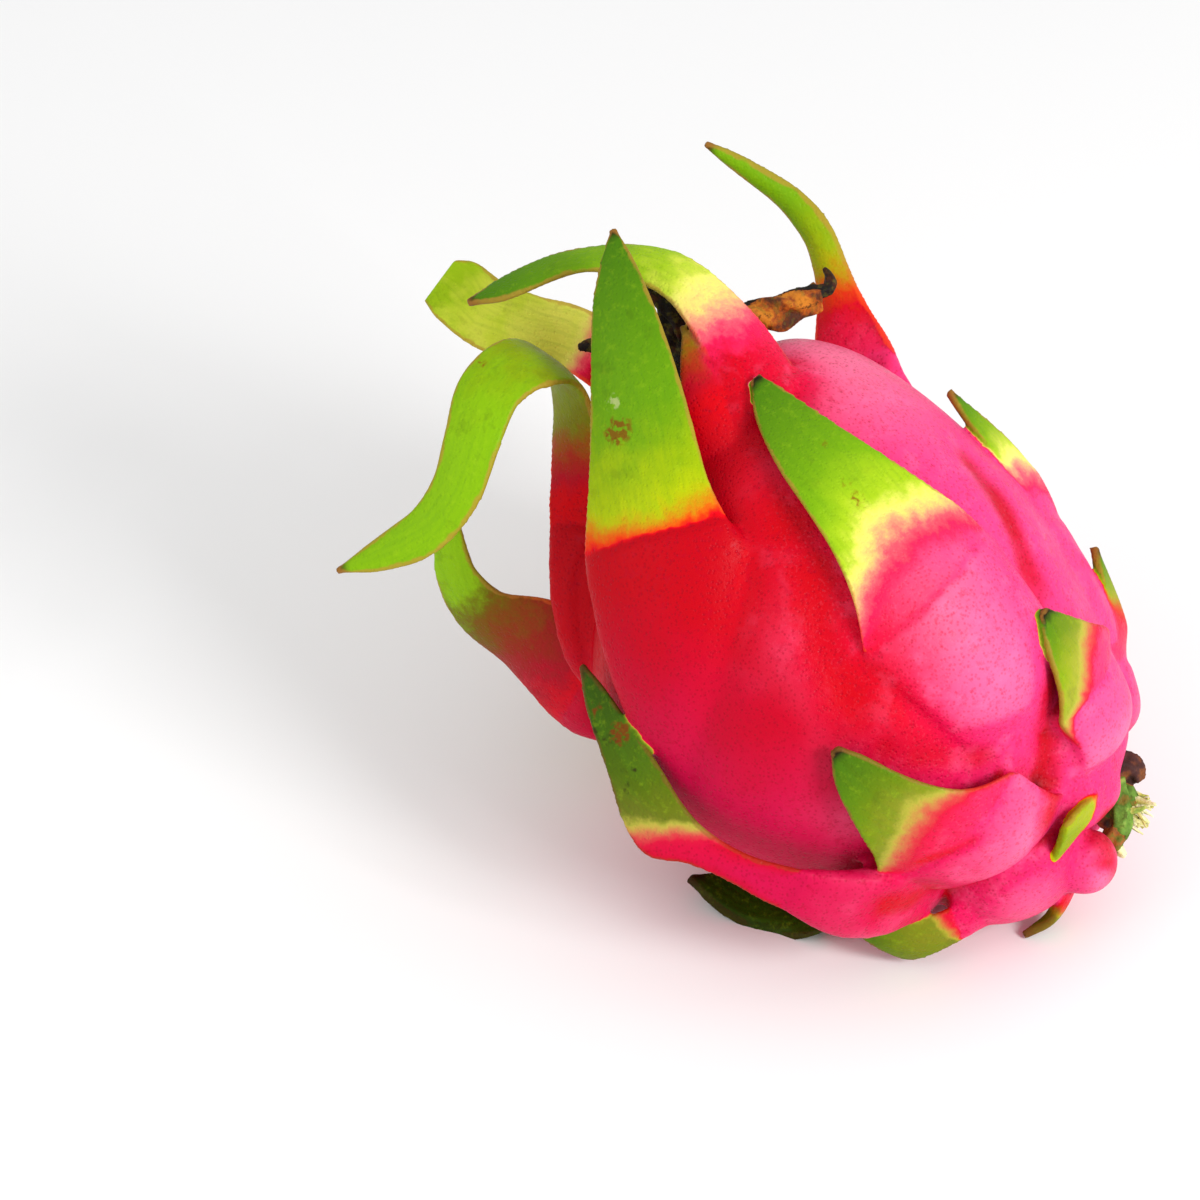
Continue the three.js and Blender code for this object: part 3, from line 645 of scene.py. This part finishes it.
# The finish of the skin: waxy, pink-red, with fine pits, a painted highlight on its swellings and
# painted shade, a deeper red, in its folds; the blades go through orange and yellow to green and end in
# a dry brown point.

def colour(code):
    """A colour from its six-digit code, as the shader takes it."""
    parts = [int(code[i : i + 2], 16) / 255 for i in (0, 2, 4)]
    return (*[c / 12.92 if c <= 0.04045 else ((c + 0.055) / 1.055) ** 2.4 for c in parts], 1)


class Finish:
    """A material whose nodes are written one inside another."""

    def __init__(self, name):
        self.material = bpy.data.materials.new(name)
        self.material.use_nodes = True
        self.tree = self.material.node_tree
        self.tree.nodes.clear()

    def put(self, kind, sockets, out=0, **settings):
        """One of a node's outputs, with values or other outputs in its sockets."""
        node = self.tree.nodes.new("ShaderNode" + kind)
        for name, value in settings.items():
            setattr(node, name, value)
        for key, value in sockets.items():
            if isinstance(value, bpy.types.NodeSocket):
                self.tree.links.new(value, node.inputs[key])
            else:
                node.inputs[key].default_value = value
        return node.outputs[out]

    def mark(self, name):
        return self.put("Attribute", {}, out="Fac", attribute_name=name)

    def place(self):
        return self.put("TexCoord", {}, out="Object")

    def towards(self, direction):
        """How far a place lies in a direction."""
        return self.put("VectorMath", {0: self.place(), 1: direction}, out="Value",
                        operation="DOT_PRODUCT")

    def sum(self, a, b, how="ADD"):
        return self.put("Math", {0: a, 1: b}, operation=how)

    def times(self, a, b):
        return self.sum(a, b, "MULTIPLY")

    def between(self, value, low, high, to=(0, 1)):
        """How far a value has come from low to high, eased and clamped, on the scale of to."""
        return self.put("MapRange", {"Value": value, "From Min": low, "From Max": high,
                                     "To Min": to[0], "To Max": to[1]},
                        interpolation_type="SMOOTHSTEP")

    def noise(self, scale, detail=3, where=None, rough=0.5):
        """Cloudy noise, finer as the scale goes up."""
        return self.put("TexNoise", {"Vector": where or self.place(), "Scale": scale,
                                     "Detail": detail, "Roughness": rough})

    def mix(self, share, a, b):
        return self.put("Mix", {0: share, 6: a, 7: b}, out=2, data_type="RGBA", blend_type="MIX")

    def tinted(self, base, *tints):
        """A colour under a row of tints, each a share and a colour's code."""
        for share, code in tints:
            base = self.mix(share, base, colour(code))
        return base

    def ramp(self, value, stops):
        """A colour that goes through the codes of its stops as the value rises."""
        node = self.put("ValToRGB", {0: value}).node
        node.color_ramp.elements.remove(node.color_ramp.elements[1])
        for i, (at, code) in enumerate(stops):
            element = node.color_ramp.elements[0] if i == 0 else node.color_ramp.elements.new(at)
            element.position = at
            element.color = colour(code)
        return node.outputs[0]

    def bump(self, height, distance, strength, over=None):
        """Fine relief of a height, in metres, laid over another relief if there is one."""
        sockets = {"Height": height, "Distance": distance, "Strength": strength}
        if over:
            sockets["Normal"] = over
        return self.put("Bump", sockets)

    def surface(self, **sockets):
        """The finished material."""
        named = {name.replace("_", " "): value for name, value in sockets.items()}
        shader = self.put("BsdfPrincipled", named)
        output = self.tree.nodes.new("ShaderNodeOutputMaterial")
        self.tree.links.new(shader, output.inputs["Surface"])
        return self.material


wax = Finish("waxy_skin")
cloud = wax.noise(30, 3)
mottle = wax.noise(210, 4)
grain = wax.noise(700, 3, rough=0.7)
cells = wax.put("TexVoronoi", {"Vector": wax.place(), "Scale": 1350.0}, out="Distance")
pits = wax.between(cells, 0.45, 0.1)
specks = wax.between(wax.noise(2000, 2), 0.56, 0.7)
crease, fold = wax.mark("crease"), wax.mark("fold")
drift = wax.between(cloud, 0.3, 0.7, (-0.008, 0.008))
# Towards the lit side, up and to the right, the body is painted pinker and paler: painted light. The
# mask of that side keeps the painted highlights and glints to it.
lit_side = wax.sum(wax.towards((0.69, 0.67, 0.26)), drift)
under = wax.sum(wax.towards((0.32, -0.52, -0.79)), drift)
lit_side_mask = wax.between(lit_side, 0.0, 0.035)

# The body: deep red on one side and pink towards its lit side, which is painted light, with a painted
# highlight where it swells on that side and pale mottling and glints painted on that side too; redder in
# its folds, creases and seams and along the margins of the bracts' pads, which is painted shade; and
# redder where a bract begins and in the pits.
seam_shade = wax.sum(wax.mark("seam_shade"), wax.between(wax.noise(110, 3), 0.3, 0.7, (-0.25, 0.1)))
not_pale = wax.sum(1.0, wax.mark("pale_and_lit"), "SUBTRACT")
near_blade = wax.times(wax.between(wax.mark("leafy"), -14, -2), not_pale)
pad_edge_shade = wax.between(wax.mark("margin"), 2.2, 0.3, (0, 0.6))
pink = wax.ramp(wax.between(lit_side, -0.006, 0.054),
                [(0.0, "b80012"), (0.35, "cc001c"), (0.65, "de0840"), (1.0, "f03c80")])
pink = wax.tinted(
    pink,
    (wax.between(under, -0.032, 0.01, (0, 0.55)), "cc1058"),
    # painted highlight where the body swells on its lit side
    (wax.times(wax.between(fold, -1.0, -5.4, (0, 0.6)), lit_side_mask), "f84888"),
    (wax.times(wax.between(fold, -2.0, -6.0, (0, 0.7)), lit_side_mask), "ff94b4"),
    # painted shade in the folds and creases
    (wax.between(fold, 0.1, 2.2, (0, 0.9)), "b8000c"),
    (wax.between(crease, 0.25, 0.9, (0, 0.7)), "a4000c"),
    # painted highlight: pale mottling on the lit side only
    (wax.times(wax.between(mottle, 0.5, 0.7, (0, 0.22)), lit_side_mask), "ff74a4"),
    # painted shade along the seams
    (wax.between(seam_shade, 0.05, 0.95, (0, 0.9)), "c0000e"),
    (wax.times(near_blade, 0.7), "dc000c"),
    # painted shade along the margins of the pads
    (wax.times(pad_edge_shade, wax.between(wax.mark("along"), -30, -16)), "bc000e"),
    (wax.between(grain, 0.48, 0.3, (0, 0.35)), "a80024"),
    (wax.times(pits, 0.36), "90001a"),
    # painted glints on the lit side
    (wax.times(wax.times(specks, lit_side_mask), 0.05), "ffa0c0"),
)

# The blades: first the turn from pink to yellow, then green that deepens towards the tip.
wander = wax.between(mottle, 0.25, 0.75, (-0.12, 0.12))
ripe = wax.sum(wax.sum(wax.mark("ripe"), wander), wax.between(grain, 0.3, 0.7, (-0.07, 0.07)))
leafy = wax.sum(wax.mark("leafy"), wax.between(mottle, 0.3, 0.7, (-2, 2)))
warm = wax.ramp(ripe, [(0.0, "dc0418"), (0.3, "e4380a"), (0.55, "d8640c"), (0.78, "c4900c"),
                       (1.0, "b4ac08")])
pale_and_lit = wax.ramp(ripe, [(0.0, "ee1c54"), (0.3, "f05a6c"), (0.55, "f0a07a"), (0.8, "ecd874"),
                       (1.0, "eee870")])
rusty = wax.ramp(ripe, [(0.0, "a80c24"), (0.35, "962418"), (0.7, "80480e"), (1.0, "6c6406")])
# The pale mark's colours are partly the bracts' own and partly painted light on brightly lit bracts.
turning = wax.mix(wax.mark("rust"), wax.mix(wax.mark("pale_and_lit"), warm, pale_and_lit), rusty)
fresh = wax.ramp(wax.between(leafy, 1, 26), [(0.0, "b8c004"), (0.3, "a4b806"), (1.0, "64960a")])
creamy_and_lit = wax.ramp(wax.between(leafy, 1, 25),
                  [(0.0, "e8e664"), (0.25, "cedc44"), (0.5, "a2c61c"), (1.0, "7cae0c")])
olive = wax.ramp(wax.between(leafy, 2, 26), [(0.0, "685a04"), (0.4, "7c8606"), (1.0, "88b80c")])
leaf = wax.mix(wax.mark("rust"), wax.mix(wax.mark("pale_and_lit"), fresh, creamy_and_lit), olive)
lengthwise = wax.put("CombineXYZ", {
    "X": wax.times(wax.mark("across"), 1.2), "Y": wax.times(wax.mark("along"), 0.1),
    "Z": wax.mark("kin")})
streaks = wax.noise(1.0, 3, where=lengthwise)
blots = wax.times(wax.between(wax.noise(170, 4, rough=0.6), 0.6, 0.68),
                  wax.sum(wax.times(wax.mark("spots"), 0.7), 0.15))
scab = wax.times(wax.mark("scab"), wax.between(wax.noise(900, 3), 0.35, 0.65, (0.35, 1.3)))
leaf = wax.tinted(
    leaf,
    (wax.mark("old"), "40700a"),
    # painted shade, for bracts in shadow
    (wax.mark("painted_shade"), "1c2c04"),
    (wax.between(streaks, 0.4, 0.7, (0, 0.16)), "4c8014"),
    (wax.between(grain, 0.5, 0.75, (0, 0.16)), "a8cc20"),
    (blots, "2c2408"),
    (wax.between(scab, 0.3, 0.9, (0, 0.75)), "7c2808"),
    (wax.between(scab, -0.3, -0.8, (0, 0.5)), "c8c890"),
    (wax.between(wax.mark("tip"), 3.0, 0.6), "20140a"),
)
blade = wax.mix(wax.between(ripe, 0.85, 1.3), turning, leaf)
skin_colour = wax.mix(wax.between(ripe, -0.4, 0.12), pink, blade)

# The blades' margins are a thin dry rim, darkened on bracts in shadow as painted shade, and the deepest
# creases are painted nearly black as painted shade.
ragged = wax.sum(wax.mark("margin"), wax.between(mottle, 0.3, 0.7, (-0.3, 0.3)))
rim = wax.times(wax.between(ragged, 0.7, 0.2), wax.between(wax.mark("along"), -9, -1, (0, 0.6)))
rim_colour = wax.mix(wax.between(ripe, 0, 1), colour("f04418"), colour("b07a34"))
rim_colour = wax.tinted(rim_colour, (wax.mark("painted_shade"), "2c2006"))
skin_colour = wax.mix(rim, skin_colour, rim_colour)
skin_colour = wax.tinted(skin_colour, (wax.between(crease, 0.55, 1.15, (0, 0.85)), "4a0208"))
fruit.data.materials.append(wax.surface(
    Base_Color=skin_colour, Roughness=wax.between(grain, 0.3, 0.7, (0.34, 0.5)),
    Normal=wax.bump(pits, -0.00012, 0.5, over=wax.bump(grain, 0.0003, 0.5)),
    Specular_IOR_Level=0.07))

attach(fruit, "root")
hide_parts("fruit")

# ---------------------------------------------------------------- the withered flower
# What is left of the flower in the hollow of the crown: its tube and style, shrivelled to brittle
# brown strands that lie over between the bracts. It is still grown on at the bottom of the hollow.

STRAND_STEP = 0.35
SIDES = 24
LUMPS = 9


def strand(line, thickness, flat=1.0, crumple=0.16, seed=0, shade=0.0):
    """A closed, crumpled strand along a line, as thick as the radii that are spread along it: its
    points, the faces of its walls and ends, and the shade of each point."""
    rng = np.random.default_rng(seed)
    place, way, stops = smooth_line(line, STRAND_STEP)
    out = carried(way, (1, 0, 0))
    side = np.cross(way, out)
    share = stops / stops[-1]
    radius = np.interp(share, np.linspace(0, 1, len(thickness)), thickness)
    around = np.linspace(0, 2 * math.pi, SIDES + 1)[:-1]
    lumps = np.zeros((len(stops), len(around)))
    for _ in range(LUMPS):
        ribs, waves = rng.integers(1, 6), rng.uniform(0.1, 1.1)
        turn, height = rng.uniform(0, 6.3), rng.uniform(0.3, 1)
        lumps += np.sin(ribs * around + stops[:, None] * waves + turn) * height
    reach = radius[:, None] * (1 + crumple * lumps)
    sideways = (reach * np.cos(around) / flat)[..., None] * side[:, None]
    outwards = (reach * np.sin(around) * flat)[..., None] * out[:, None]
    rings = place[:, None] + sideways + outwards
    n, m = rings.shape[:2]
    grid = np.arange(n * m).reshape(n, m)
    after = np.roll(grid, -1, axis=1)
    walls = np.stack([grid[:-1], after[:-1], after[1:], grid[1:]], -1).reshape(-1, 4)
    points = np.vstack([rings.reshape(-1, 3), place[0], place[-1]])
    ends = [(n * m, b, a) for a, b in zip(grid[0], after[0])]
    ends += [(n * m + 1, a, b) for a, b in zip(grid[-1], after[-1])]
    return points, walls, ends, np.full(len(points), shade)


def dry_piece(name, strands, melt=None):
    """A piece of crumpled strands with their shades, melted together if melt says how finely."""
    points, faces, shades = [], [], []
    first = 0
    for place, walls, ends, shade in strands:
        points.append(laid_down(place))
        faces += (walls + first).tolist() + [[first + corner for corner in end] for end in ends]
        shades.append(shade)
        first += len(place)
    points, shades = np.vstack(points), np.concatenate(shades)
    mesh = bpy.data.meshes.new(name)
    mesh.from_pydata(points, [], faces)
    if melt:
        tree = BVHTree.FromPolygons(points.tolist(), faces)
        remesh = ("REMESH", dict(mode="VOXEL", voxel_size=melt))
        mesh = worked(mesh, remesh, ("SMOOTH", dict(iterations=2)))
        nearest = [tree.find_nearest(point)[2] for point in points_of(mesh)]
        shades = shades[[faces[i][0] for i in nearest]]
    write_mark(mesh, "shade", shades)
    mesh.shade_smooth()
    piece = bpy.data.objects.new(name, mesh)
    bpy.context.scene.collection.objects.link(piece)
    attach(piece, "root")
    return piece


# shade: 0 is black-brown, 0.5 brown, 1 the orange of the tube.
flower = dry_piece("withered_flower", [
    strand([(0, 5, 43.3), (0, 5.4, 46), (3, 9, 53), (7, 12.4, 59), (9, 13, 64)],
           [4.6, 4, 3.2, 2.4, 0.8], flat=0.75, seed=1, shade=0.1),
    strand([(1, 8, 46.6), (5, 14, 51), (5.6, 22, 50.8), (5, 28.2, 47.4), (4, 33.4, 45)],
           [2.8, 2.4, 2.5, 2.4, 1.7], flat=0.85, seed=2, shade=0.78),
    strand([(4.4, 30, 47.6), (4, 33.6, 45.6), (4, 35.8, 45), (3.6, 37.2, 46.4), (3.4, 37.4, 48.2)],
           [0.8, 1.3, 1.2, 0.9, 0.4], seed=3, shade=0.1),
    strand([(5.6, 17, 52.8), (5.6, 22.6, 52.6), (4.8, 28, 49.4), (4.2, 33, 46.8)], [0.5, 0.8, 0.8, 0.6],
           flat=0.8, seed=4, shade=0),
    strand([(2, 8, 47), (8, 12, 54), (11, 12.8, 62), (10, 12.9, 67.6)], [2, 1.8, 1.3, 0.5],
           flat=0.6, seed=5, shade=0.05),
    strand([(0, 6, 47), (0, 4.6, 57), (2, 1, 65), (4, -2.6, 68.6)], [2.2, 1.6, 1.2, 0.5],
           flat=0.6, seed=6, shade=0.2),
    strand([(0, 6, 46), (-4, 9, 52), (-8, 12, 56.6)], [2.2, 1.6, 0.7], flat=0.6, seed=7, shade=0.3),
    strand([(0, 4, 46), (-4, 2, 52), (-7, -1, 58)], [2, 1.3, 0.5], flat=0.6, seed=8, shade=0.15),
    strand([(1, 9, 46.6), (-1, 15, 50), (-4, 20, 51.6)], [1.8, 1.4, 0.5], flat=0.6, seed=9, shade=0.5),
], melt=0.00032)
husk = Finish("withered_brown")
crust = husk.noise(520, 5, rough=0.65)
fibre = husk.noise(900, 3)
blotch = husk.noise(260, 4, rough=0.6)
shade = husk.sum(husk.mark("shade"), husk.between(blotch, 0.3, 0.7, (-0.45, 0.35)))
brown = husk.ramp(shade, [(0.0, "0e0703"), (0.25, "2a1408"), (0.5, "5c2a08"), (0.75, "a04c0a"),
                          (1.0, "c8781c")])
brown = husk.tinted(
    brown,
    (husk.between(fibre, 0.5, 0.7, (0, 0.4)), "6a6414"),
    (husk.between(crust, 0.56, 0.68, (0, 0.8)), "160a04"),
)
flower.data.materials.append(husk.surface(
    Base_Color=brown, Roughness=husk.between(crust, 0.3, 0.7, (0.55, 0.85)), Specular_IOR_Level=0.25,
    Normal=husk.bump(crust, 0.0008, 0.8, over=husk.bump(fibre, 0.0003, 0.6))))
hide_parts("dried_flower")

# ---------------------------------------------------------------- the stalk stump
# The end of the stalk where the fruit was torn off: a short green core, brown bark that stands out
# above and below it, and a tuft of cream fibres. It has dried out in the dimple of the stem end.

STUMP_TILT = math.radians(21)
STUMP_BASE = np.array([STALK_X, STALK_Y, STALK_BASE])
STUMP_WAY = np.array([0, math.sin(STUMP_TILT), -math.cos(STUMP_TILT)])
STUMP_UP = np.array([0, math.cos(STUMP_TILT), math.sin(STUMP_TILT)])


def on_stump(*places):
    """Places given as sideways, away from the fruit and up the stump's end, in the growth frame."""
    return [STUMP_BASE + np.array([x, 0, 0]) + away * STUMP_WAY + up * STUMP_UP
            for x, away, up in places]


def tuft(count, seed):
    """Torn fibres that spread from the stump's end."""
    rng = np.random.default_rng(seed)
    for i in range(count):
        turn, reach = rng.uniform(0, 6.3), rng.uniform(0, 2.6)
        x, up = reach * math.cos(turn), reach * math.sin(turn) - 0.4
        length = rng.uniform(1.6, 3.8)
        lean, bend = rng.normal(0, 0.5, 2), rng.normal(0, 0.9, 2)
        line = on_stump((x, 4.6, up), (x * 1.2 + lean[0], 6.4, up * 1.2 + lean[1]),
                        (x * 1.4 + lean[0] + bend[0], 6.4 + length, up * 1.4 + lean[1] + bend[1]))
        thick = rng.uniform(0.22, 0.5)
        yield strand(line, [thick, thick, thick * 0.8, thick * 0.5], crumple=0.1, seed=seed + i,
                     shade=rng.uniform(0.7, 1.0))


# shade: 0 is dark bark, 0.35 brown, 0.55 green, 1 cream.
bark = [
    strand(on_stump((0, -1.6, 0.2), (0, 2, 0), (0, 5, -0.6), (0, 6.2, -0.8)), [3.8, 3.3, 3.6, 2.6],
           seed=21, shade=0.5, crumple=0.1),
    strand(on_stump((1.6, -1.4, 3.2), (2, 0.8, 5), (2, 3.6, 5.4), (1.6, 5.4, 4.2)),
           [1.2, 1.8, 1.7, 0.9], seed=22, shade=0.2, flat=0.75, crumple=0.2),
    strand(on_stump((-1.6, -1.2, 3.4), (-2.6, 1.4, 4.4), (-2.8, 3.8, 3.8)), [1.2, 1.5, 0.8], seed=23,
           shade=0.2),
    strand(on_stump((2.8, 1.4, 3), (3, 4, -0.8), (3, 5.6, -4.6), (2.8, 5.8, -7)), [1.3, 1.5, 1.4, 0.8],
           seed=24, shade=0.55, flat=0.8),
    strand(on_stump((2.4, 4.6, -5), (3, 5.2, -7), (3, 5.6, -8.6)), [1.1, 1.9, 1.1], seed=25, shade=0.38),
    strand(on_stump((3, 5.6, -7.6), (2.8, 7.4, -8.4), (2.6, 8.4, -8.6)), [0.8, 1, 0.6], seed=26,
           shade=0.85),
    strand(on_stump((-2.6, 0.4, 1), (-3.6, 3, -1), (-3, 5.4, -3)), [1.3, 1.4, 0.8], seed=27, shade=0.45),
    strand(on_stump((0, 1, -3.4), (-0.6, 4, -4.6), (-0.6, 6, -5)), [1.4, 1.3, 0.7], seed=28, shade=0.3),
]
stump = dry_piece("stalk_stump", bark, melt=0.0003)
fibres = dry_piece("stalk_fibres", tuft(count=46, seed=40))
stalk = Finish("dry_stalk")
flecks = stalk.noise(900, 4, rough=0.6)
patch = stalk.noise(420, 3)
shade = stalk.sum(stalk.mark("shade"), stalk.between(patch, 0.3, 0.7, (-0.1, 0.1)))
dry = stalk.ramp(shade, [(0.0, "1c0e0c"), (0.2, "4a2a26"), (0.38, "9a5a20"), (0.5, "4c6a1c"),
                         (0.62, "6c9434"), (0.75, "c8c060"), (1.0, "f4efc8")])
dry = stalk.tinted(dry, (stalk.between(flecks, 0.55, 0.7, (0, 0.6)), "3a2810"))
dry_stalk = stalk.surface(
    Base_Color=dry, Roughness=stalk.between(flecks, 0.3, 0.7, (0.6, 0.9)), Specular_IOR_Level=0.25,
    Normal=stalk.bump(flecks, 0.0005, 0.8))
for piece in (stump, fibres):
    piece.data.materials.append(dry_stalk)
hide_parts("stem_stub")

# ---------------------------------------------------------------- table, light and camera
# A plain pale table top under soft studio light: a large lamp at the right and above, a weaker one
# from the left, and an even white surrounding.

floor_mesh = bpy.data.meshes.new("table_top")
floor_mesh.from_pydata([(-3, -3, 0), (3, -3, 0), (3, 3, 0), (-3, 3, 0)], [], [(0, 1, 2, 3)])
floor = bpy.data.objects.new("table_top", floor_mesh)
bpy.context.scene.collection.objects.link(floor)
table = Finish("pale_table")
floor_mesh.materials.append(table.surface(Base_Color=(0.9, 0.9, 0.9, 1), Roughness=0.8))

scene = bpy.context.scene
world = bpy.data.worlds.new("studio")
world.use_nodes = True
world.node_tree.nodes["Background"].inputs["Color"].default_value = (1, 1, 1, 1)
world.node_tree.nodes["Background"].inputs["Strength"].default_value = 0.8
scene.world = world
scene.view_settings.view_transform = "Standard"


def lamp(name, direction, distance, size, power):
    """A square soft lamp that looks at the fruit."""
    data = bpy.data.lights.new(name, "AREA")
    data.size, data.energy = size, power
    light = bpy.data.objects.new(name, data)
    towards = Vector(direction).normalized()
    light.location = MIDDLE / 1000 + towards * distance
    light.rotation_euler = towards.to_track_quat("Z", "Y").to_euler()
    scene.collection.objects.link(light)


lamp("key_lamp", (0.82, -0.18, 0.5), distance=0.9, size=0.3, power=6.0)
lamp("fill_lamp", (-0.5, -0.8, 0.5), distance=1.2, size=0.8, power=2.5)

AZIMUTH = math.radians(31.7)
ELEVATION = math.radians(38)
VIEW_ANGLE = math.radians(15.33)
DISTANCE = 0.78
MM_PER_PIXEL = 0.175
LEFT_PIXELS, UP_PIXELS = 265, 15  # how far the camera looks past the middle of the fruit
right = Vector((math.cos(AZIMUTH), math.sin(AZIMUTH), 0))
up = Vector((-math.sin(AZIMUTH) * math.sin(ELEVATION), math.cos(AZIMUTH) * math.sin(ELEVATION),
             math.cos(ELEVATION)))
back = right.cross(up)
aim = (MIDDLE - right * LEFT_PIXELS * MM_PER_PIXEL + up * UP_PIXELS * MM_PER_PIXEL) / 1000
camera = bpy.data.objects.new("camera", bpy.data.cameras.new("camera"))
camera.data.angle = VIEW_ANGLE
camera.location = aim + back * DISTANCE
camera.rotation_euler = back.to_track_quat("Z", "Y").to_euler()
scene.collection.objects.link(camera)
scene.camera = camera
